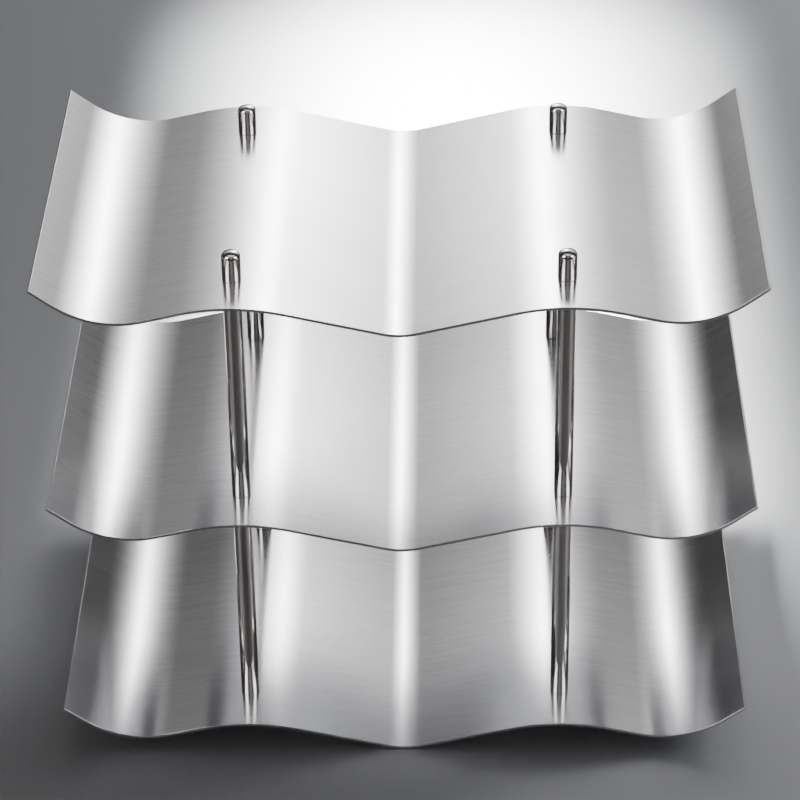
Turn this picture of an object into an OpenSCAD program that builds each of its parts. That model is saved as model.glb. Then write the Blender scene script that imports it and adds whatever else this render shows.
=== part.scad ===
// Wine rack: three waved steel shelves held one above another by four screwed posts.
// X runs across the rack, Y from the front edge to the back edge, Z up from the table.
// The origin is on the table, under the middle of the rack.

/* [Shelves] */
// Width of a shelf across the edges of its wings
shelf_w = 281; // [230:1:340]
// Depth of a shelf from its front edge to its back edge
shelf_d = 165; // [137:1:220]
// Thickness of the sheet
sheet_t = 1.2; // [0.8:0.1:2]
// Height from one shelf to the next
tier_pitch = 100; // [80:1:130]

/* [Wave] */
// Radius of the middle trough, on the upper face
trough_r = 28; // [25:1:40]
// Slope of the flats on either side of the middle trough, in degrees
inner_slope = 13.2; // [11:0.1:17]
// Radius of the crests, on the upper face
crest_r = 89; // [60:1:100]
// Slope of the flats between a crest and a side trough, in degrees
outer_slope = 13.2; // [10:0.1:15]
// Distance from a crest to the bottom of the side trough beside it
side_step = 42.5; // [35:0.5:52]
// Radius of the side troughs, on the upper face
side_r = 40; // [25:1:48]
// Slope of the wings, in degrees
wing_slope = 37; // [25:1:45]

/* [Posts] */
// Distance between the left and right posts, which stand on the crests
post_span_x = 129; // [106:1:140]
// Distance between the front and rear posts
post_span_y = 120; // [80:1:126]
// Diameter of the posts, caps and feet
post_d = 7.5; // [6:0.5:10]
// Width of the broken edge at the ends of the posts
end_chamfer = 0.3; // [0.1:0.1:0.6]
// Gap between the table and the lowest part of the bottom shelf
floor_gap = 0.5; // [0.2:0.1:8]
// Room left under a shelf for the facets of its crests, above each post end
seat_gap = 0.01; // [0.01:0.01:0.05]

/* [Caps] */
// Height of a cap, from the crest that it stands on
cap_h = 12; // [10:0.1:16]
// Radius of a cap's rounded rim
rim_r = 1.8; // [0.8:0.1:2]
// Radius of a cap's crowned top
crown_r = 7.5; // [7:0.1:20]

/* [Studs] */
// Diameter of the threaded studs, over the thread
stud_d = 4; // [3:0.5:5]
// Length of a stud
stud_l = 14; // [11:1:17]
// Radial room of a stud's thread in a tapped bore
thread_gap = 0.02; // [0.01:0.01:0.1]
// Room in a bore past the end of its stud
stud_end_gap = 0.5; // [0.2:0.1:1]
// Radial room of a stud in the hole through the sheet
hole_gap = 0.15; // [0.1:0.05:0.3]
// Width of the chamfer at the ends of a stud and the mouth of a bore
thread_chamfer = 0.4; // [0.2:0.1:0.6]

/* [Hidden] */
corners = ["front_left", "front_right", "rear_left", "rear_right"];
tiers = ["bottom", "middle", "top"];
$fn = 96;

// The wave, from the middle of the rack to the right: an arc, a flat, an arc, a flat, an arc and a flat.
// Heights are those of the upper face above the bottom of the middle trough.
arc_step = 1.5; // degrees
crest_x = post_span_x / 2;
inner_flat = (crest_x - (trough_r + crest_r) * sin(inner_slope)) / cos(inner_slope);
crest_z = (trough_r + crest_r) * (1 - cos(inner_slope)) + inner_flat * sin(inner_slope);
outer_flat = (side_step - (crest_r + side_r) * sin(outer_slope)) / cos(outer_slope);
side_x = crest_x + side_step;
side_z = crest_z - (crest_r + side_r) * (1 - cos(outer_slope)) - outer_flat * sin(outer_slope);

// The sheet is cut square to itself, with its lower edge at half the shelf's width.
// A narrow shelf ends within the side trough's arc, and a wide one has a flat wing past it.
edge_reach = (shelf_w / 2 - side_x) / (side_r + sheet_t);
edge_slope = edge_reach < sin(wing_slope) ? asin(edge_reach) : wing_slope;
edge_x = shelf_w / 2 - sheet_t * sin(edge_slope);
wing_x = side_x + side_r * sin(edge_slope);
edge_z = side_z + side_r * (1 - cos(edge_slope)) + (edge_x - wing_x) * tan(edge_slope);

// A post's flat upper end meets the hollow under a crest at its left and right rims.
post_r = post_d / 2;
end_r = post_r - end_chamfer;
under_r = crest_r - sheet_t;
seat_drop = under_r - sqrt(under_r ^ 2 - end_r ^ 2) + seat_gap;
post_l = tier_pitch - sheet_t - seat_drop;
foot_h = floor_gap + crest_z - seat_drop;

// A stud is centred in the sheet that it passes through.
stud_r = stud_d / 2;
bore_r = stud_r + thread_gap;
bore_depth = (stud_l - sheet_t) / 2 + stud_end_gap;
drill_tip = bore_r * tan(31);

function trough_z(tier) = floor_gap + sheet_t + tier * tier_pitch;
function crest_top(tier) = trough_z(tier) + crest_z;

// A station is a point of the upper face with the slope there: [x, z, slope].
// An arc runs between two slopes from its level point at [x, z], and bends up (1) or down (-1).
function arc(x, z, r, from, to, bend) =
    let (steps = ceil(abs(to - from) / arc_step))
    [for (i = [0 : steps])
        let (slope = from + (to - from) * i / steps)
        [x + bend * r * sin(slope), z + bend * r * (1 - cos(slope)), slope]];

half_wave = concat(arc(0, 0, trough_r, 0, inner_slope, 1),
                   arc(crest_x, crest_z, crest_r, inner_slope, -outer_slope, -1),
                   arc(side_x, side_z, side_r, -outer_slope, edge_slope, 1),
                   [[edge_x, edge_z, edge_slope]]);

function upper_face(stations) = [for (s = stations) [s[0], s[1]]];
function lower_face(stations) =
    [for (s = stations) [s[0] + sheet_t * sin(s[2]), s[1] - sheet_t * cos(s[2])]];
// The same points on the other side of the middle, from the far edge inwards.
function left_half(points) = [for (i = [len(points) - 1 : -1 : 1]) [-points[i][0], points[i][1]]];
function backwards(points) = [for (i = [len(points) - 1 : -1 : 0]) points[i]];

module wave_section() {
    top = upper_face(half_wave);
    under = lower_face(half_wave);
    polygon(concat(left_half(top), top, backwards(under), backwards(left_half(under))));
}

// Places a piece on the post line of one corner, counted as in corners.
module at_corner(i, z) {
    x = (i % 2 == 0 ? -1 : 1) * post_span_x / 2;
    y = (i < 2 ? -1 : 1) * post_span_y / 2;
    translate([x, y, z]) children();
}

// A turned solid, from its outline to the right of the axis.
module turned(outline) {
    rotate_extrude() polygon(outline);
}

// One bent sheet, drilled through its crests for the studs.
module shelf(tier) {
    color("silver")
    difference() {
        translate([0, shelf_d / 2, trough_z(tier)])
            rotate([90, 0, 0])
                linear_extrude(shelf_d) wave_section();
        for (i = [0 : 3])
            at_corner(i, trough_z(tier))
                cylinder(h = crest_z + sheet_t, r = stud_r + hole_gap);
    }
}

// A round bar with both edges broken.
module bar(length) {
    turned([[0, 0], [end_r, 0], [post_r, end_chamfer],
            [post_r, length - end_chamfer], [end_r, length], [0, length]]);
}

// A tapped bore upwards from z = 0, with a chamfered mouth and a drilled point.
module tapped_bore() {
    turned([[0, 0], [bore_r + thread_chamfer, 0], [bore_r, thread_chamfer],
            [bore_r, bore_depth], [0, bore_depth + drill_tip]]);
}

module tapped_bore_down(z) {
    translate([0, 0, z]) mirror([0, 0, 1]) tapped_bore();
}

module post() {
    color("dimgray")
    difference() {
        bar(post_l);
        tapped_bore();
        tapped_bore_down(post_l);
    }
}

module foot() {
    color("dimgray")
    difference() {
        bar(foot_h);
        tapped_bore_down(foot_h);
    }
}

// The rim's arc runs from the straight side to the crown, and touches both without a corner.
module cap() {
    crown_z = cap_h - crown_r;
    rim_x = post_r - rim_r;
    rim_z = crown_z + sqrt((crown_r - rim_r) ^ 2 - rim_x ^ 2);
    reach = 1.5 * crown_r / (crown_r - rim_r); // carries the sectors' corner well past the crown
    beyond = [rim_x * reach, crown_z + (rim_z - crown_z) * reach];
    color("dimgray")
    difference() {
        rotate_extrude() {
            polygon([[0, 0], [end_r, 0], [post_r, end_chamfer], [post_r, rim_z], [0, rim_z]]);
            intersection() {
                translate([rim_x, rim_z]) circle(rim_r);
                polygon([[rim_x, rim_z], [post_d, rim_z], [post_d, beyond[1]], beyond]);
            }
            intersection() {
                translate([0, crown_z]) circle(crown_r);
                polygon([[0, crown_z], beyond, [0, beyond[1]]]);
            }
        }
        tapped_bore();
    }
}

module stud() {
    turned([[0, 0], [stud_r - thread_chamfer, 0], [stud_r, thread_chamfer],
            [stud_r, stud_l - thread_chamfer], [stud_r - thread_chamfer, stud_l], [0, stud_l]]);
}

// The four studs of one shelf, each half above and half below the sheet.
module studs(tier) {
    color("darkgray")
    for (i = [0 : 3])
        at_corner(i, crest_top(tier) - sheet_t / 2 - stud_l / 2) stud();
}

for (t = [0 : 2]) {
    shelf(t);
    studs(t);
}
for (i = [0 : 3]) {
    at_corner(i, 0) foot();
    at_corner(i, crest_top(0)) post();
    at_corner(i, crest_top(1)) post();
    at_corner(i, crest_top(2)) cap();
}
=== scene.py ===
"""Wine rack: three waved shelves of brushed steel, held one above another by screwed posts.

Run as a script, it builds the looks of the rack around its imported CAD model: X across the
rack, Y from the front edge to the back edge, Z up from the table, in metres."""

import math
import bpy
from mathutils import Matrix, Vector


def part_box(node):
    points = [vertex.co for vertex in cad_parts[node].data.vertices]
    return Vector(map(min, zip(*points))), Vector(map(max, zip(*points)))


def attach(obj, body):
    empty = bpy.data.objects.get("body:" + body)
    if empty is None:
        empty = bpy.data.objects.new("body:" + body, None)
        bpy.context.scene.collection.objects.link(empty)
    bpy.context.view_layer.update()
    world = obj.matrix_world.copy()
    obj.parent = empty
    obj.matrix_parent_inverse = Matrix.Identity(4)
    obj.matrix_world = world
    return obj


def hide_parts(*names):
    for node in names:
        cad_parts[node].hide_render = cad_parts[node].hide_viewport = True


bl_info = {
    "name": "Waved Steel Wine Rack",
    "version": (1, 0, 0),
    "blender": (4, 5, 0),
    "location": "3D View > Sidebar > Wine Rack",
    "description": "Builds a wine rack of waved steel shelves on screwed posts, and its stage",
    "category": "Add Mesh",
}

import bpy
import numpy as np
from bpy.props import FloatProperty, FloatVectorProperty, IntProperty, PointerProperty
from bpy.types import Operator, Panel, PropertyGroup
from mathutils import Matrix, Vector

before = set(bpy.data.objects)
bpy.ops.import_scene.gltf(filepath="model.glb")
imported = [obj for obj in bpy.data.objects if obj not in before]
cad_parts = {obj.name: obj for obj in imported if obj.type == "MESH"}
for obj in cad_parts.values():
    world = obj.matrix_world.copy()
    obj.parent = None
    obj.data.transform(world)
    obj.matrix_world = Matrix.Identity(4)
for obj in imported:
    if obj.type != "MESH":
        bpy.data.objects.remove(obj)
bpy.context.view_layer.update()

BODY = "root"
MM = 0.001
TIERS = ("bottom", "middle", "top")
LEVELS = ("lower", "upper")
CORNERS = ("front_left", "front_right", "rear_left", "rear_right")

# The sheets' meshes
ARC_STEP = math.radians(1.25)  # turn from one line to the next on an arc
FLAT_STEP = 4 * MM  # longest step on a flat
EDGE_STEP = 2.5 * MM  # longest step in depth, from an edge to the hole beside it
MIDDLE_STEP = 5 * MM  # longest step in depth, between the front and rear holes
HOLE_CELLS = 8  # cells along each side of the square round a hole
RING_SHARES = (0.45, 0.8, 1.0)  # how far each ring is from the square to the hole
SHEET_SHARP = math.radians(40)  # edges that turn more than this are sharp, and get broken
BEVEL_STEPS = 3

# The turned pieces' outlines
BAR_SHARP = math.radians(25)  # edges that turn more than this stay sharp
DRILL_SLOPE = math.radians(31)  # slope of the cone at the end of a drilled bore
RIM_POINTS = 12
CROWN_POINTS = 14


# ---------------------------------------------------------------- sizes and finishes


def length(name, description, mm):
    """A length property in metres, whose default is given in millimetres."""
    return FloatProperty(
        name=name, description=description, default=mm * MM, min=0, unit="LENGTH", precision=5
    )


def angle(name, description, degrees):
    """An angle property in radians, whose default is given in degrees."""
    return FloatProperty(
        name=name, description=description, default=math.radians(degrees), unit="ROTATION"
    )


def number(name, description, value):
    """A plain number property."""
    return FloatProperty(name=name, description=description, default=value)


def share(name, description, value):
    """A property between 0 and 1."""
    return FloatProperty(
        name=name, description=description, default=value, min=0, max=1, subtype="FACTOR"
    )


def colour(name, description, rgb):
    """A linear colour property."""
    return FloatVectorProperty(
        name=name, description=description, default=rgb, size=3, min=0, max=1, subtype="COLOR"
    )


def place(name, description, mm):
    """A point property in metres, whose default is given in millimetres."""
    return FloatVectorProperty(
        name=name,
        description=description,
        default=[c * MM for c in mm],
        size=3,
        subtype="TRANSLATION",
        unit="LENGTH",
    )


class RackShelfSizes(PropertyGroup):
    """Sizes of the waved sheets."""

    sheet_t: length("Sheet thickness", "Thickness of the steel sheet", 1.2)
    trough_r: length("Middle trough radius", "Radius of the middle trough's upper face", 28)
    inner_slope: angle("Inner slope", "Slope of the flats beside the middle trough", 13.2)
    crest_r: length("Crest radius", "Radius of the crests' upper face", 89)
    outer_slope: angle("Outer slope", "Slope of the flats between crest and side trough", 13.2)
    side_step: length("Side step", "Distance from a crest to the side trough beside it", 42.5)
    side_r: length("Side trough radius", "Radius of the side troughs' upper face", 40)
    wing_slope: angle("Wing slope", "Slope of the wings at both ends", 37)
    hole_d: length("Hole diameter", "Diameter of the stud holes in the crests", 4.3)
    hole_field: length("Hole field", "Half width of the dense mesh round a stud hole", 4.4)
    edge_round: length("Edge rounding", "Width of the broken edge round a sheet", 0.12)


class RackPostSizes(PropertyGroup):
    """Sizes of the posts, feet, caps and their tapped bores."""

    post_d: length("Post diameter", "Diameter of the posts, caps and feet", 7.5)
    end_chamfer: length("End chamfer", "Width of the broken edge at a post's ends", 0.3)
    rim_r: length("Cap rim radius", "Radius of a cap's rounded rim", 1.8)
    crown_r: length("Cap crown radius", "Radius of a cap's crowned top", 7.5)
    stud_d: length("Stud diameter", "Diameter of the threaded studs", 4)
    stud_l: length("Stud length", "Length of a threaded stud", 14)
    thread_pitch: length("Thread pitch", "Distance from one thread to the next", 0.7)
    bore_gap: length("Bore gap", "Room round a stud in its bore", 0.02)
    bore_end_gap: length("Bore end gap", "Room past the end of a stud in its bore", 0.5)
    mouth_chamfer: length("Mouth chamfer", "Width of the chamfer at a bore's mouth", 0.4)
    facets: IntProperty(name="Facets", description="Sides of a turned piece", default=96, min=24)


class RackSteelFinish(PropertyGroup):
    """Colour, brushing and polish of the steel."""

    sheet_colour: colour("Sheet colour", "Colour of the brushed sheet", (0.655, 0.65, 0.67))
    sheet_rough: share("Sheet roughness", "Roughness of the brushed sheet", 0.225)
    sheet_brushing: share("Brushing", "How much the brushing spreads a highlight to one side", 0.70)
    grain_depth: share("Grain depth", "Strength of the brushed grain", 0.3)
    post_colour: colour("Post colour", "Colour of the polished bar", (0.50, 0.465, 0.45))
    post_rough: share("Post roughness", "Roughness of the polished bar", 0.07)
    stud_colour: colour("Stud colour", "Colour of the threaded steel", (0.62, 0.62, 0.60))


class RackStageSizes(PropertyGroup):
    """Camera, floor, lights and backdrop."""

    camera_at: place("Camera place", "Where the camera stands", (18.95, -1111.1, 834.7))
    camera_yaw: angle("Camera yaw", "Turn of the camera to the right of straight ahead", -1.054)
    camera_dip: angle("Camera dip", "Tilt of the camera below the horizon", 32.777)
    camera_roll: angle("Camera roll", "Clockwise roll of the camera", 0.756)
    camera_lens: number("Lens", "Focal length in mm on a 36 mm sensor", 142.93)
    floor_colour: colour("Floor colour", "Colour of the pale floor", (0.60, 0.61, 0.63))
    floor_rough: share("Floor roughness", "Roughness of the floor", 0.45)
    glow_at: place("Glow place", "Middle of the glow on the backdrop", (22, 600, 560))
    glow_half: place("Glow size", "Spread of the glow across, in depth and up", (66, 1, 128))
    glow_power: number("Glow brightness", "Brightness of the glow's middle", 30.0)
    haze_at: place("Haze place", "Middle of the haze on the backdrop", (300, 605, 660))
    haze_half: place("Haze size", "Spread of the haze across, in depth and up", (600, 1, 200))
    haze_power: number("Haze brightness", "Brightness of the haze's middle", 1.4)
    side_power: number("Side light", "Power of each side light in watts", 14.0)
    front_power: number("Front light", "Power of the front light in watts", 0.7)
    floor_power: number("Floor light", "Power of the light behind the rack in watts", 9.5)
    rear_power: number("Rear light", "Power of the soft light at the right rear in watts", 10.0)
    top_power: number("Top light", "Power of the soft light overhead in watts", 6.0)
    sky_low: number("Sky at the horizon", "Brightness of the surroundings at eye level", 0.03)
    sky_high: number("Sky overhead", "Brightness of the surroundings overhead", 0.08)


GROUPS = {
    "rack_shelf": RackShelfSizes,
    "rack_post": RackPostSizes,
    "rack_finish": RackSteelFinish,
    "rack_stage": RackStageSizes,
}


# ---------------------------------------------------------------- meshes


def mesh_object(name, points, faces, uv=None, sharp=SHEET_SHARP):
    """A smooth object at the origin.

    points is (n, 3), and faces is a list of arrays of point numbers, each (m, 3) or (m, 4). uv
    is a list of arrays of the same shapes, with two numbers for each corner. Edges that turn
    more than the angle sharp stay sharp."""
    mesh = bpy.data.meshes.new(name)
    corners = np.concatenate([f.ravel() for f in faces])
    sizes = np.concatenate([np.full(len(f), f.shape[1]) for f in faces])
    starts = np.concatenate([[0], np.cumsum(sizes)[:-1]])
    mesh.vertices.add(len(points))
    mesh.vertices.foreach_set("co", np.ascontiguousarray(points, np.float32).ravel())
    mesh.loops.add(len(corners))
    mesh.loops.foreach_set("vertex_index", corners.astype(np.int32))
    mesh.polygons.add(len(sizes))
    mesh.polygons.foreach_set("loop_start", starts.astype(np.int32))
    mesh.polygons.foreach_set("use_smooth", np.ones(len(sizes), bool))
    mesh.update(calc_edges=True)
    if uv is not None:
        layer = mesh.uv_layers.new(name="brushing")
        layer.data.foreach_set(
            "uv", np.concatenate([u.reshape(-1, 2) for u in uv]).astype(np.float32).ravel()
        )
    mesh.validate()
    mesh.set_sharp_from_angle(angle=sharp)
    obj = bpy.data.objects.new(name, mesh)
    bpy.context.scene.collection.objects.link(obj)
    return obj


def steps(stops, spacings):
    """Evenly spaced values from each stop to the next, no wider apart than that stretch's spacing."""
    rounding = 1e-6  # a stretch this little over a whole number of spacings gets no extra one
    parts = [
        np.linspace(a, b, max(1, math.ceil((b - a) / gap - rounding)) + 1)[:-1]
        for a, b, gap in zip(stops, stops[1:], spacings)
    ]
    return np.concatenate(parts + [[stops[-1]]])


class Wave:
    """The wave of a shelf's upper face as a function of the distance t along it from the middle.

    Its slope is piecewise linear in t: it turns by 1 / radius a metre on an arc and stays on a
    flat. x and z above the middle trough are the sums of cos(slope) and sin(slope) along it."""

    def __init__(self, sizes, crest_x, half_width):
        inner, outer, wing = sizes.inner_slope, sizes.outer_slope, sizes.wing_slope
        sheet_t, side_x = sizes.sheet_t, crest_x + sizes.side_step
        inner_flat = crest_x - (sizes.trough_r + sizes.crest_r) * math.sin(inner)
        outer_flat = sizes.side_step - (sizes.crest_r + sizes.side_r) * math.sin(outer)
        wing_flat = half_width - sheet_t * math.sin(wing) - side_x - sizes.side_r * math.sin(wing)
        bends = [1 / sizes.trough_r, 0, -1 / sizes.crest_r, 0, 1 / sizes.side_r, 0]
        lengths = [
            sizes.trough_r * inner,
            inner_flat / math.cos(inner),
            sizes.crest_r * (inner + outer),
            outer_flat / math.cos(outer),
            sizes.side_r * (outer + wing),
            wing_flat / math.cos(wing),
        ]
        self.bend = np.array(bends)
        self.start = np.concatenate([[0], np.cumsum(lengths)])
        self.slope = np.concatenate([[0], np.cumsum(self.bend * lengths)])
        self.crest_t = self.start[2] + sizes.crest_r * inner
        moves = [self._move(k, lengths[k]) for k in range(len(lengths))]
        self.x = np.concatenate([[0], np.cumsum([m[0] for m in moves])])
        self.z = np.concatenate([[0], np.cumsum([m[1] for m in moves])])

    def _move(self, k, along):
        """How far x and z move on stretch k, after a distance along it."""
        slope, bend = self.slope[k], self.bend[k]
        turned = slope + bend * along
        safe = np.where(bend == 0, 1, bend)
        dx = np.where(bend == 0, np.cos(slope) * along, (np.sin(turned) - np.sin(slope)) / safe)
        dz = np.where(bend == 0, np.sin(slope) * along, (np.cos(slope) - np.cos(turned)) / safe)
        return dx, dz

    def at(self, t):
        """x, z and slope at the distances t, which are negative on the left."""
        side, t = np.sign(t), np.abs(t)
        k = np.clip(np.searchsorted(self.start, t, "right") - 1, 0, len(self.bend) - 1)
        along = t - self.start[k]
        dx, dz = self._move(k, along)
        return side * (self.x[k] + dx), self.z[k] + dz, side * (self.slope[k] + self.bend[k] * along)


def ring_of(column, row, cells):
    """Grid places (i, j) counterclockwise round a square of cells, from its lowest corner."""
    up, flat = np.arange(cells), np.zeros(cells, int)
    i = np.concatenate([up, flat + cells, cells - up, flat])
    j = np.concatenate([flat, up, flat + cells, cells - up])
    return column + i, row + j


def lines_across(sizes, wave):
    """Distances t along the wave of the sheet mesh's lines, from the left edge to the right one.
    They are evenly spaced on each arc, on each flat and over each hole."""
    crest, field = wave.crest_t, sizes.hole_field
    stops = [0, *wave.start[1:3], crest - field, crest + field, *wave.start[3:]]
    spacings = [
        sizes.trough_r * ARC_STEP,
        FLAT_STEP,
        sizes.crest_r * ARC_STEP,
        2 * field / HOLE_CELLS,
        sizes.crest_r * ARC_STEP,
        FLAT_STEP,
        sizes.side_r * ARC_STEP,
        FLAT_STEP,
    ]
    half = steps(stops, spacings)
    return np.concatenate([-half[:0:-1], half])


def lines_in_depth(sizes, post_y, depth):
    """Depths y of the sheet mesh's lines, from the front edge to the back one. They are evenly
    spaced beside, over and between the holes."""
    edge, field = depth / 2, sizes.hole_field
    over_hole = 2 * field / HOLE_CELLS
    return steps(
        [-edge, -post_y - field, -post_y + field, post_y - field, post_y + field, edge],
        [EDGE_STEP, over_hole, MIDDLE_STEP, over_hole, EDGE_STEP],
    )


def holed_plan(t, y, holes, sizes):
    """The sheet laid flat: its points (t, y), its faces, and loops of point numbers round its
    outer edge and each hole.

    The points are a grid of t and y. Round each hole a square of the grid gives way to rings
    that pass evenly from the square to the circle, each from the lowest corner round."""
    index = np.arange(len(t) * len(y)).reshape(len(t), len(y))
    keep = np.ones((len(t) - 1, len(y) - 1), bool)
    grid = np.stack(np.meshgrid(t, y, indexing="ij"), -1).reshape(-1, 2)
    sides = 4 * HOLE_CELLS
    turn = 2 * math.pi * np.arange(sides) / sides - 0.75 * math.pi
    circle = sizes.hole_d / 2 * np.stack([np.cos(turn), np.sin(turn)], -1)
    count, parts, patches, rims = len(grid), [grid], [], []
    for hole in holes:
        i = int(np.argmin(abs(t - (hole[0] - sizes.hole_field))))
        j = int(np.argmin(abs(y - (hole[1] - sizes.hole_field))))
        keep[i : i + HOLE_CELLS, j : j + HOLE_CELLS] = False
        last = index[ring_of(i, j, HOLE_CELLS)]
        square = grid[last]
        for share_in in RING_SHARES:
            parts.append(square + (hole + circle - square) * share_in)
            ring = count + np.arange(sides)
            count += sides
            patches.append(np.stack([last, np.roll(last, -1), np.roll(ring, -1), ring], -1))
            last = ring
        rims.append(last[::-1])
    quads = np.stack([index[:-1, :-1], index[1:, :-1], index[1:, 1:], index[:-1, 1:]], -1)[keep]
    edge = np.concatenate([index[:-1, 0], index[-1, :-1], index[:0:-1, -1], index[0, :0:-1]])
    used, faces = np.unique(np.concatenate([quads, *patches]), return_inverse=True)
    renumber = np.zeros(count, int)
    renumber[used] = np.arange(len(used))
    loops = [renumber[loop] for loop in (edge, *rims)]
    return np.concatenate(parts)[used], faces.reshape(-1, 4), loops


def waved_sheet(name, sizes, wave, post_y, depth, trough_z):
    """A sheet of even thickness on the wave, carried from front to back, with four round holes.

    The upper face is the flat plan bent along the wave, and the lower face is the upper one
    moved by the thickness along its own normal. Walls join the two round the outer edge and in
    each hole. The brushing map is (y, t), and a wall lies outside the edge that it hangs from."""
    holes = [(x, y) for x in (-wave.crest_t, wave.crest_t) for y in (-post_y, post_y)]
    across, in_depth = lines_across(sizes, wave), lines_in_depth(sizes, post_y, depth)
    plan, upper, loops = holed_plan(across, in_depth, holes, sizes)
    x, z, slope = wave.at(plan[:, 0])
    top = np.stack([x, plan[:, 1], z + trough_z], -1)
    normal = np.stack([-np.sin(slope), np.zeros(len(x)), np.cos(slope)], -1)
    points = np.concatenate([top, top - sizes.sheet_t * normal])
    under, brushing = len(plan), plan[:, ::-1]
    walls, wall_uv = [], []
    for loop in loops:
        after = np.roll(loop, -1)
        walls.append(np.stack([loop + under, after + under, after, loop], -1))
        run = plan[after] - plan[loop]
        away = np.stack([-run[:, 0], run[:, 1]], -1) / np.linalg.norm(run, axis=1)[:, None]
        near, far = brushing[loop], brushing[after]
        low = away * sizes.sheet_t
        wall_uv.append(np.stack([near + low, far + low, far, near], 1))
    lower = upper[:, ::-1]
    uv = [brushing[upper], brushing[lower], *wall_uv]
    obj = mesh_object(name, points, [upper, lower + under, *walls], uv)
    bevel = obj.modifiers.new("Broken edges", "BEVEL")
    bevel.width, bevel.segments = sizes.edge_round, BEVEL_STEPS
    bevel.limit_method, bevel.angle_limit = "ANGLE", SHEET_SHARP
    bevel.harden_normals = True
    return obj


def turned_bar(name, outline, centre, facets):
    """A closed solid turned round a vertical axis through centre.

    outline is (n, 2), a radius and a height for each point, from the axis at its lower end,
    outwards, up and back to the axis. Each point goes round the axis as (radius cos a, radius
    sin a, height), and the two ends on the axis are single points."""
    outline = np.asarray(outline, float)
    radius, height = outline[1:-1, :1], outline[1:-1, 1:]
    a = 2 * math.pi * np.arange(facets) / facets
    x, y = radius * np.cos(a) + centre[0], radius * np.sin(a) + centre[1]
    rings = np.stack([x, y, np.repeat(height, facets, 1)], -1).reshape(-1, 3)
    ends = np.array([(*centre, outline[0, 1]), (*centre, outline[-1, 1])])
    index = np.arange(len(rings)).reshape(-1, facets)
    beside = np.roll(index, -1, 1)
    sides = np.stack([index[:-1], beside[:-1], beside[1:], index[1:]], -1).reshape(-1, 4)
    low, high = np.full(facets, len(rings)), np.full(facets, len(rings) + 1)
    bottom = np.stack([low, beside[0], index[0]], -1)
    top = np.stack([high, index[-1], beside[-1]], -1)
    points = np.concatenate([rings, ends])
    return mesh_object(name, points, [sides, np.concatenate([bottom, top])], sharp=BAR_SHARP)


# ---------------------------------------------------------------- materials


def node(tree, kind, settings=(), **inputs):
    """Adds a node. inputs are its sockets by name, with _ for a space, or by number, as in _0.
    Each is a value or a socket to link."""
    added = tree.nodes.new("ShaderNode" + kind)
    for key, value in dict(settings).items():
        setattr(added, key, value)
    for key, value in inputs.items():
        digits = key[1:]
        socket = added.inputs[int(digits) if digits.isdigit() else key.replace("_", " ")]
        if isinstance(value, bpy.types.NodeSocket):
            tree.links.new(value, socket)
        else:
            socket.default_value = value
    return added


def bare_material(name):
    """A material with an empty node tree, and that tree."""
    material = bpy.data.materials.new(name)
    material.use_nodes = True
    material.node_tree.nodes.clear()
    return material, material.node_tree


def new_material(name):
    """A material whose shader is joined to its output, with its tree and that shader."""
    material, tree = bare_material(name)
    shader = node(tree, "BsdfPrincipled")
    node(tree, "OutputMaterial", Surface=shader.outputs["BSDF"])
    return material, tree, shader


def stretched_noise(tree, where, spacing, detail=2.0, seed=(0, 0, 0)):
    """Noise from 0 to 1 whose features are about spacing = (x, y, z) long, in millimetres."""
    scale = [1 / (s * MM) for s in spacing]
    placed = node(tree, "Mapping", Vector=where, Scale=scale, Location=seed)
    noise = node(
        tree, "TexNoise", Vector=placed.outputs["Vector"], Scale=1.0, Detail=detail, Roughness=0.6
    )
    return noise.outputs["Fac"]


def between(tree, factor, low, high, start=0.3, end=0.7):
    """Carries factor from the range start to end over to the range low to high."""
    ranged = node(
        tree, "MapRange", Value=factor, From_Min=start, From_Max=end, To_Min=low, To_Max=high
    )
    return ranged.outputs["Result"]


def shaded(tree, factor, rgb, darkest, lightest):
    """The colour rgb, made darker and lighter by a factor from 0 to 1."""
    dark = [c * darkest for c in rgb] + [1]
    light = [min(1, c * lightest) for c in rgb] + [1]
    mixed = node(tree, "Mix", {"data_type": "RGBA"}, Factor=factor, _6=dark, _7=light)
    return mixed.outputs[2]


def total(tree, *parts):
    """The sum of several sockets."""
    whole = parts[0]
    for part in parts[1:]:
        whole = node(tree, "Math", {"operation": "ADD"}, _0=whole, _1=part).outputs[0]
    return whole


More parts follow.
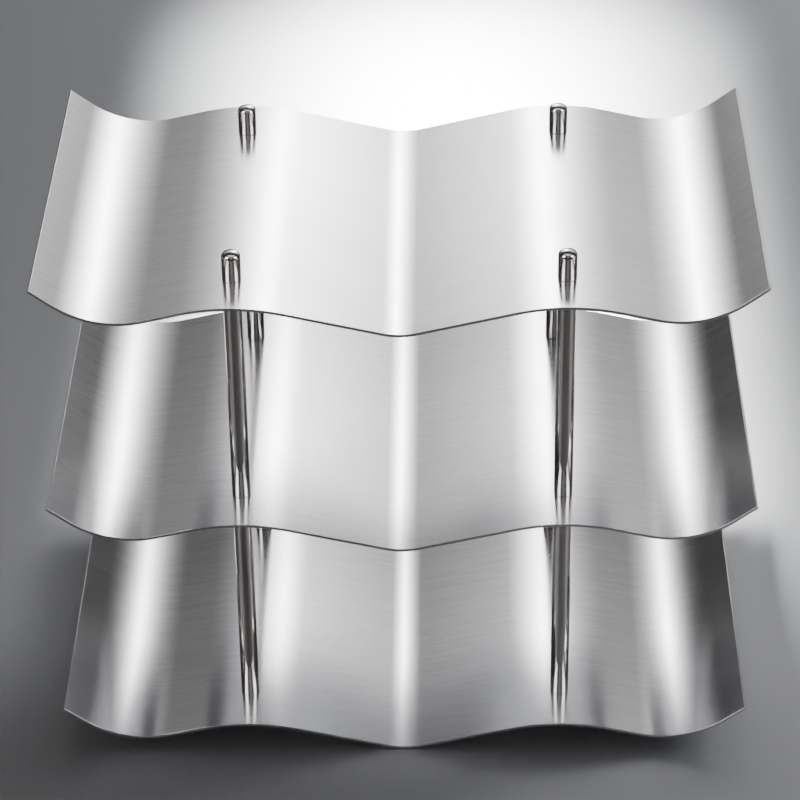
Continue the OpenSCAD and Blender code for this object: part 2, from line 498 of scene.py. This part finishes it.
def brushed_sheet_steel(finish):
    """Stainless sheet brushed from side to side.

    Short fine hairs and long broader strokes of noise along X change its colour and, a little,
    its roughness. The hairs also stand in its height, and wide soft patches change its
    roughness. The brushing spreads a highlight along the sheet's own map, from front to back."""
    material, tree, shader = new_material("brushed_sheet_steel")
    where = node(tree, "TexCoord").outputs["Object"]
    hairs = stretched_noise(tree, where, spacing=(12, 0.5, 12), detail=1)
    strokes = stretched_noise(tree, where, spacing=(32, 1.1, 32), detail=1, seed=(7, 3, 1))
    patches = stretched_noise(tree, where, spacing=(60, 45, 60), seed=(2, 9, 4))
    halves = [between(tree, s, low=0, high=0.5, start=0.35, end=0.65) for s in (hairs, strokes)]
    streaks = total(tree, *halves)
    streak_rough, patch_rough, hair_height = 0.006, 0.015, 8e-6
    least, most = finish.sheet_rough - patch_rough, finish.sheet_rough + patch_rough
    rough = total(
        tree,
        between(tree, streaks, low=-streak_rough, high=streak_rough, start=0, end=1),
        between(tree, patches, low=least, high=most),
    )
    tone = shaded(tree, streaks, finish.sheet_colour, darkest=0.93, lightest=1.07)
    bump = node(tree, "Bump", Strength=finish.grain_depth, Distance=hair_height, Height=hairs)
    tangent = node(tree, "Tangent", {"direction_type": "UV_MAP", "uv_map": "brushing"})
    tree.links.new(tone, shader.inputs["Base Color"])
    tree.links.new(rough, shader.inputs["Roughness"])
    tree.links.new(bump.outputs["Normal"], shader.inputs["Normal"])
    tree.links.new(tangent.outputs["Tangent"], shader.inputs["Tangent"])
    shader.inputs["Metallic"].default_value = 1
    shader.inputs["Anisotropic"].default_value = finish.sheet_brushing
    return material


def polished_bar_steel(finish):
    """Mirror-polished bar: faint turning rings along Z in its height, and soft smears in its
    roughness and colour."""
    material, tree, shader = new_material("polished_bar_steel")
    where = node(tree, "TexCoord").outputs["Object"]
    rings = stretched_noise(tree, where, spacing=(30, 30, 0.25))
    smears = stretched_noise(tree, where, spacing=(6, 6, 22), detail=3, seed=(5, 1, 8))
    ring_height, cleaner, duller = 10e-6, 0.02, 0.04
    least, most = finish.post_rough - cleaner, finish.post_rough + duller
    smeared = between(tree, smears, low=0, high=1)
    tone = shaded(tree, smeared, finish.post_colour, darkest=0.92, lightest=1.06)
    bump = node(tree, "Bump", Strength=0.06, Distance=ring_height, Height=rings)
    tree.links.new(tone, shader.inputs["Base Color"])
    tree.links.new(between(tree, smears, low=least, high=most), shader.inputs["Roughness"])
    tree.links.new(bump.outputs["Normal"], shader.inputs["Normal"])
    shader.inputs["Metallic"].default_value = 1
    return material


def threaded_steel(finish, pitch):
    """Plain steel with thread ridges: bands a pitch apart along Z in its height, and painted shade,
    a darker tone, in their grooves."""
    material, tree, shader = new_material("threaded_steel")
    where = node(tree, "TexCoord").outputs["Object"]
    band_scale = 2 * math.pi / (20 * pitch)  # a band is 2 pi / 20 of the scaled height
    bands = {"wave_type": "BANDS", "bands_direction": "Z", "wave_profile": "TRI"}
    waves = node(tree, "TexWave", bands, Vector=where, Scale=band_scale, Distortion=0.0)
    ridges = waves.outputs["Fac"]
    wear = stretched_noise(tree, where, spacing=(1.5, 1.5, 1.5), detail=3)
    # painted shade: the colour darkens in the grooves between the ridges
    tone = shaded(tree, ridges, finish.stud_colour, darkest=0.6, lightest=1.05)
    bump = node(tree, "Bump", Strength=1.0, Distance=0.3 * MM, Height=ridges)
    tree.links.new(tone, shader.inputs["Base Color"])
    tree.links.new(between(tree, wear, low=0.28, high=0.42), shader.inputs["Roughness"])
    tree.links.new(bump.outputs["Normal"], shader.inputs["Normal"])
    shader.inputs["Metallic"].default_value = 1
    return material


def pale_floor(stage):
    """Plain pale floor with a soft sheen and a very faint cloudiness."""
    material, tree, shader = new_material("pale_floor")
    where = node(tree, "TexCoord").outputs["Object"]
    cloud = between(tree, stretched_noise(tree, where, spacing=(400, 400, 400)), low=0, high=1)
    tone = shaded(tree, cloud, stage.floor_colour, darkest=0.985, lightest=1.0)
    tree.links.new(tone, shader.inputs["Base Color"])
    shader.inputs["Roughness"].default_value = stage.floor_rough
    return material


def fading_light(name, middle, spread, power):
    """A backdrop panel's light, which lets what is behind it through. It falls off from its
    middle as exp(-x - z squared), with x and z the distances across and up in its spread."""
    material, tree = bare_material(name)
    where = node(tree, "TexCoord").outputs["Object"]
    away = node(tree, "VectorMath", {"operation": "SUBTRACT"}, _0=where, _1=list(middle))
    shape = [1 / spread[0], 0, 1 / spread[2]]
    away = node(tree, "VectorMath", {"operation": "MULTIPLY"}, _0=away.outputs[0], _1=shape)
    ways = node(tree, "SeparateXYZ", Vector=away.outputs[0]).outputs
    across = node(tree, "Math", {"operation": "ABSOLUTE"}, _0=ways["X"]).outputs[0]
    up = node(tree, "Math", {"operation": "POWER"}, _0=ways["Z"], _1=2.0).outputs[0]
    far = total(tree, across, up)
    falling = node(tree, "Math", {"operation": "MULTIPLY"}, _0=far, _1=-1.0).outputs[0]
    fading = node(tree, "Math", {"operation": "EXPONENT"}, _0=falling).outputs[0]
    light = node(tree, "Emission", Color=fading, Strength=power)
    clear = node(tree, "BsdfTransparent")
    both = node(tree, "AddShader", _0=light.outputs[0], _1=clear.outputs[0])
    node(tree, "OutputMaterial", Surface=both.outputs[0])
    return material


def surroundings(stage):
    """The world: a dim room that grows lighter overhead, and plain and pale to the camera."""
    world = bpy.data.worlds.new("studio")
    world.use_nodes = True
    tree = world.node_tree
    tree.nodes.clear()
    toward = node(tree, "TexCoord").outputs["Generated"]
    up = node(tree, "SeparateXYZ", Vector=toward).outputs["Z"]
    strength = between(tree, up, low=stage.sky_low, high=stage.sky_high, start=0.1, end=1.0)
    white, pale = (1, 1, 1, 1), (0.55, 0.56, 0.58, 1)
    room = node(tree, "Background", Color=white, Strength=strength)
    seen = node(tree, "Background", Color=pale, Strength=1.0)
    direct = node(tree, "LightPath").outputs["Is Camera Ray"]
    mixed = node(tree, "MixShader", _0=direct, _1=room.outputs[0], _2=seen.outputs[0])
    node(tree, "OutputWorld", Surface=mixed.outputs[0])
    bpy.context.scene.world = world


def made(name, build, *values):
    """The material of that name, built once."""
    return bpy.data.materials.get(name) or build(*values)


# ---------------------------------------------------------------- operators


def dress(obj, material, slot, *nodes):
    """Gives a piece its material and its body, and hides the CAD nodes it stands for. slot is not
    used.
    """
    obj.data.materials.append(material)
    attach(obj, BODY)
    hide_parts(*nodes)


def bore_outline(posts, sheet_t, z, way):
    """Radius and height down a tapped bore that opens at z, from its mouth to its drilled point.
    way is 1 for a bore upwards and -1 for one downwards."""
    radius = posts.stud_d / 2 + posts.bore_gap
    depth = (posts.stud_l - sheet_t) / 2 + posts.bore_end_gap
    tip = radius * math.tan(DRILL_SLOPE)
    return [
        (radius + posts.mouth_chamfer, z),
        (radius, z + way * posts.mouth_chamfer),
        (radius, z + way * depth),
        (0, z + way * (depth + tip)),
    ]


def post_outline(posts, sheet_t, low, high, bored_below=True):
    """Outline of a bar with broken edges, bored from above and, if asked, from below."""
    end_r, post_r = posts.post_d / 2 - posts.end_chamfer, posts.post_d / 2
    start = bore_outline(posts, sheet_t, low, 1)[::-1] if bored_below else [(0, low)]
    sides = [
        (end_r, low),
        (post_r, low + posts.end_chamfer),
        (post_r, high - posts.end_chamfer),
        (end_r, high),
    ]
    return start + sides + bore_outline(posts, sheet_t, high, -1)


def foot_outline(posts, sheet_t, low, high):
    """Outline of a foot: a post's, bored from above only."""
    return post_outline(posts, sheet_t, low, high, bored_below=False)


def cap_outline(posts, sheet_t, low, high):
    """Outline of a cap: a chamfered lower end with a bore, a straight side, a rim arc that
    touches the side and the crown, and the crown's arc up to the axis."""
    end_r, post_r = posts.post_d / 2 - posts.end_chamfer, posts.post_d / 2
    crown_z, rim_x = high - posts.crown_r, post_r - posts.rim_r
    rim_z = crown_z + math.sqrt((posts.crown_r - posts.rim_r) ** 2 - rim_x**2)
    lean = math.atan2(rim_x, rim_z - crown_z)
    rim = np.linspace(0, math.pi / 2 - lean, RIM_POINTS)
    crown = np.linspace(lean, 0, CROWN_POINTS)[1:]
    rim_arc = [rim_x + posts.rim_r * np.cos(rim), rim_z + posts.rim_r * np.sin(rim)]
    crown_arc = [posts.crown_r * np.sin(crown), crown_z + posts.crown_r * np.cos(crown)]
    start = bore_outline(posts, sheet_t, low, 1)[::-1]
    side = [(end_r, low), (post_r, low + posts.end_chamfer)]
    return np.concatenate([start, side, np.transpose(rim_arc), np.transpose(crown_arc)])


def middle_of(low, high):
    """Middle of a box across and in depth."""
    return (low[0] + high[0]) / 2, (low[1] + high[1]) / 2


def turned_piece(scene, name, cad, outline_of):
    """A polished piece in the place of the node cad, on the outline that outline_of works out."""
    posts, finish = scene.rack_post, scene.rack_finish
    steel = made("polished_bar_steel", polished_bar_steel, finish)
    low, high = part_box(cad)
    outline = outline_of(posts, scene.rack_shelf.sheet_t, low[2], high[2])
    piece = turned_bar(name, outline, middle_of(low, high), posts.facets)
    dress(piece, steel, "post_steel", cad)


class RACK_OT_add_shelves(Operator):
    """Makes the three waved sheets of brushed steel, each with four stud holes."""

    bl_idname = "rack.add_shelves"
    bl_label = "Add Shelves"

    def execute(self, context):
        sizes, finish = context.scene.rack_shelf, context.scene.rack_finish
        steel = made("brushed_sheet_steel", brushed_sheet_steel, finish)
        post_x, post_y = middle_of(*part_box("cap_rear_right"))
        for tier in TIERS:
            low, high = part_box("shelf_" + tier)
            wave = Wave(sizes, post_x, (high[0] - low[0]) / 2)
            depth, trough_z = high[1] - low[1], low[2] + sizes.sheet_t
            sheet = waved_sheet("waved_sheet_" + tier, sizes, wave, post_y, depth, trough_z)
            dress(sheet, steel, "shelf_steel", "shelf_" + tier)
        return {"FINISHED"}


class RACK_OT_add_posts(Operator):
    """Makes the eight polished posts, each tapped at both ends."""

    bl_idname = "rack.add_posts"
    bl_label = "Add Posts"

    def execute(self, context):
        for level in LEVELS:
            for corner in CORNERS:
                at = f"{level}_{corner}"
                turned_piece(context.scene, "bar_" + at, "post_" + at, post_outline)
        return {"FINISHED"}


class RACK_OT_add_feet(Operator):
    """Makes the four feet under the bottom shelf, each tapped from above."""

    bl_idname = "rack.add_feet"
    bl_label = "Add Feet"

    def execute(self, context):
        for corner in CORNERS:
            turned_piece(context.scene, "round_foot_" + corner, "foot_" + corner, foot_outline)
        return {"FINISHED"}


class RACK_OT_add_caps(Operator):
    """Makes the four crowned caps on the top shelf, each tapped from below."""

    bl_idname = "rack.add_caps"
    bl_label = "Add Caps"

    def execute(self, context):
        for corner in CORNERS:
            turned_piece(context.scene, "crowned_cap_" + corner, "cap_" + corner, cap_outline)
        return {"FINISHED"}


class RACK_OT_finish_studs(Operator):
    """Gives the threaded studs their steel."""

    bl_idname = "rack.finish_studs"
    bl_label = "Finish Studs"

    def execute(self, context):
        finish, pitch = context.scene.rack_finish, context.scene.rack_post.thread_pitch
        steel = made("threaded_steel", threaded_steel, finish, pitch)
        for tier in TIERS:
            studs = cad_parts["studs_" + tier]
            studs.data.materials.clear()
            studs.data.materials.append(steel)
        return {"FINISHED"}


class RACK_OT_set_stage(Operator):
    """Lays the pale floor and sets the camera, the lights and the surroundings."""

    bl_idname = "rack.set_stage"
    bl_label = "Set Stage"

    def execute(self, context):
        stage = context.scene.rack_stage
        self.lay_floor(stage)
        self.hang_backdrops(stage)
        surroundings(stage)
        self.hang_lights(stage)
        self.set_camera(stage, context.scene)
        return {"FINISHED"}

    def panel(self, name, corners):
        """A flat stage panel."""
        obj = mesh_object(name, np.array(corners, float), [np.array([[0, 1, 2, 3]])])
        return obj

    def lay_floor(self, stage):
        """The floor, a wide square at the table's height."""
        far = 9.0
        corners = [(-far, -far, 0), (far, -far, 0), (far, far, 0), (-far, far, 0)]
        self.panel("pale_floor", corners).data.materials.append(pale_floor(stage))

    def hang_backdrops(self, stage):
        """The glow and the haze that the steel mirrors."""
        glow_room = Vector((0.4, 0, 0.32))
        low, high = stage.glow_at - glow_room, stage.glow_at + glow_room
        self.backdrop("glow", stage.glow_at, stage.glow_half, stage.glow_power, low, high)
        haze_side, haze_foot, haze_top, haze_y = 1.6, 0.002, 2.0, stage.haze_at[1]
        low, high = (-haze_side, haze_y, haze_foot), (haze_side, haze_y, haze_top)
        self.backdrop("haze", stage.haze_at, stage.haze_half, stage.haze_power, low, high)

    def backdrop(self, name, middle, spread, power, low, high):
        """An upright panel of fading light from low to high, which shows only in the steel."""
        (left, y, foot), (right, _, head) = low, high
        corners = [(left, y, foot), (left, y, head), (right, y, head), (right, y, foot)]
        panel = self.panel(name, corners)
        panel.data.materials.append(fading_light(name, middle, spread, power))
        panel.visible_camera = False
        panel.visible_shadow = False
        panel.visible_diffuse = False

    def hang_lights(self, stage):
        """Three lights round the front and one overhead for the steel, and two for the floor.
        The three stand at one distance and rise from aim, each so many degrees to the right of
        straight in front."""
        aim, distance, rise = Vector((0, 0, 0.15)), 1.3, math.radians(33)
        for name, degrees, power in (
            ("left_light", -52, stage.side_power),
            ("right_light", 62, stage.side_power),
            ("front_light", 5, stage.front_power),
        ):
            turn = math.radians(degrees)
            across, back = math.sin(turn) * math.cos(rise), -math.cos(turn) * math.cos(rise)
            spot = aim + Vector((across, back, math.sin(rise))) * distance
            self.soft_light(name, power, spot, aim, size=(0.6, 0.9))
        spot, aim, narrow = (0.02, 0.33, 0.8), (0.02, 0.33, 0), math.radians(20)
        self.soft_light(
            "floor_light", stage.floor_power, spot, aim, size=(0.12, 0.55), spread=narrow, lit="floor"
        )
        spot, aim = (0.9, 1.0, 0.8), (0.4, 0.55, 0)
        self.soft_light("haze_light", stage.rear_power, spot, aim, size=(0.7, 0.7), lit="floor")
        spot, aim = (0, 0, 1.7), (0, 0, 0)
        self.soft_light("top_light", stage.top_power, spot, aim, size=(1.2, 1.2))

    def soft_light(self, name, power, spot, aim, size, spread=math.pi, lit="steel"):
        """A rectangular light at spot, facing aim. It lights only the steel, as a reflection in
        it, or only the floor."""
        lamp = bpy.data.lights.new(name, "AREA")
        lamp.shape, lamp.size, lamp.size_y, lamp.energy = "RECTANGLE", *size, power
        lamp.spread = spread
        obj = bpy.data.objects.new(name, lamp)
        bpy.context.scene.collection.objects.link(obj)
        obj.location = spot
        obj.rotation_euler = (Vector(spot) - Vector(aim)).to_track_quat("Z", "Y").to_euler()
        obj.visible_camera = False
        obj.visible_diffuse = lit == "floor"
        obj.visible_glossy = lit == "steel"

    def set_camera(self, stage, scene):
        """The camera. It looks along +Y, turned right by its yaw, tilted down by its dip and
        rolled clockwise."""
        camera = bpy.data.objects.new("camera", bpy.data.cameras.new("camera"))
        scene.collection.objects.link(camera)
        camera.data.sensor_width, camera.data.lens = 36, stage.camera_lens
        camera.data.clip_start, camera.data.clip_end = 0.01, 50
        yaw, dip, roll = stage.camera_yaw, stage.camera_dip, stage.camera_roll
        ahead = Vector(
            (math.sin(yaw) * math.cos(dip), math.cos(yaw) * math.cos(dip), -math.sin(dip))
        )
        level = Vector((math.cos(yaw), -math.sin(yaw), 0))
        down = ahead.cross(level)
        right = level * math.cos(roll) + down * math.sin(roll)
        turn = Matrix((right, ahead.cross(right) * -1, ahead * -1)).transposed()
        camera.matrix_world = Matrix.Translation(stage.camera_at) @ turn.to_4x4()
        scene.camera = camera


PIECES = (
    RACK_OT_add_shelves,
    RACK_OT_add_posts,
    RACK_OT_add_feet,
    RACK_OT_add_caps,
    RACK_OT_finish_studs,
    RACK_OT_set_stage,
)


class RACK_PT_panel(Panel):
    """Sizes and finishes of the rack, and a button for each group of pieces."""

    bl_label = "Wine Rack"
    bl_space_type = "VIEW_3D"
    bl_region_type = "UI"
    bl_category = "Wine Rack"

    def draw(self, context):
        for name in GROUPS:
            box = self.layout.box()
            group = getattr(context.scene, name)
            for key in group.__annotations__:
                box.prop(group, key)
        for piece in PIECES:
            self.layout.operator(piece.bl_idname)


CLASSES = (*GROUPS.values(), *PIECES, RACK_PT_panel)


def register():
    for cls in CLASSES:
        bpy.utils.register_class(cls)
    for name, group in GROUPS.items():
        setattr(bpy.types.Scene, name, PointerProperty(type=group))


def unregister():
    for name in GROUPS:
        delattr(bpy.types.Scene, name)
    for cls in reversed(CLASSES):
        bpy.utils.unregister_class(cls)


def main():
    """Builds the whole rack and its stage."""
    register()
    bpy.ops.rack.add_shelves()
    bpy.ops.rack.add_posts()
    bpy.ops.rack.add_feet()
    bpy.ops.rack.add_caps()
    bpy.ops.rack.finish_studs()
    bpy.ops.rack.set_stage()


if __name__ == "__main__":
    main()
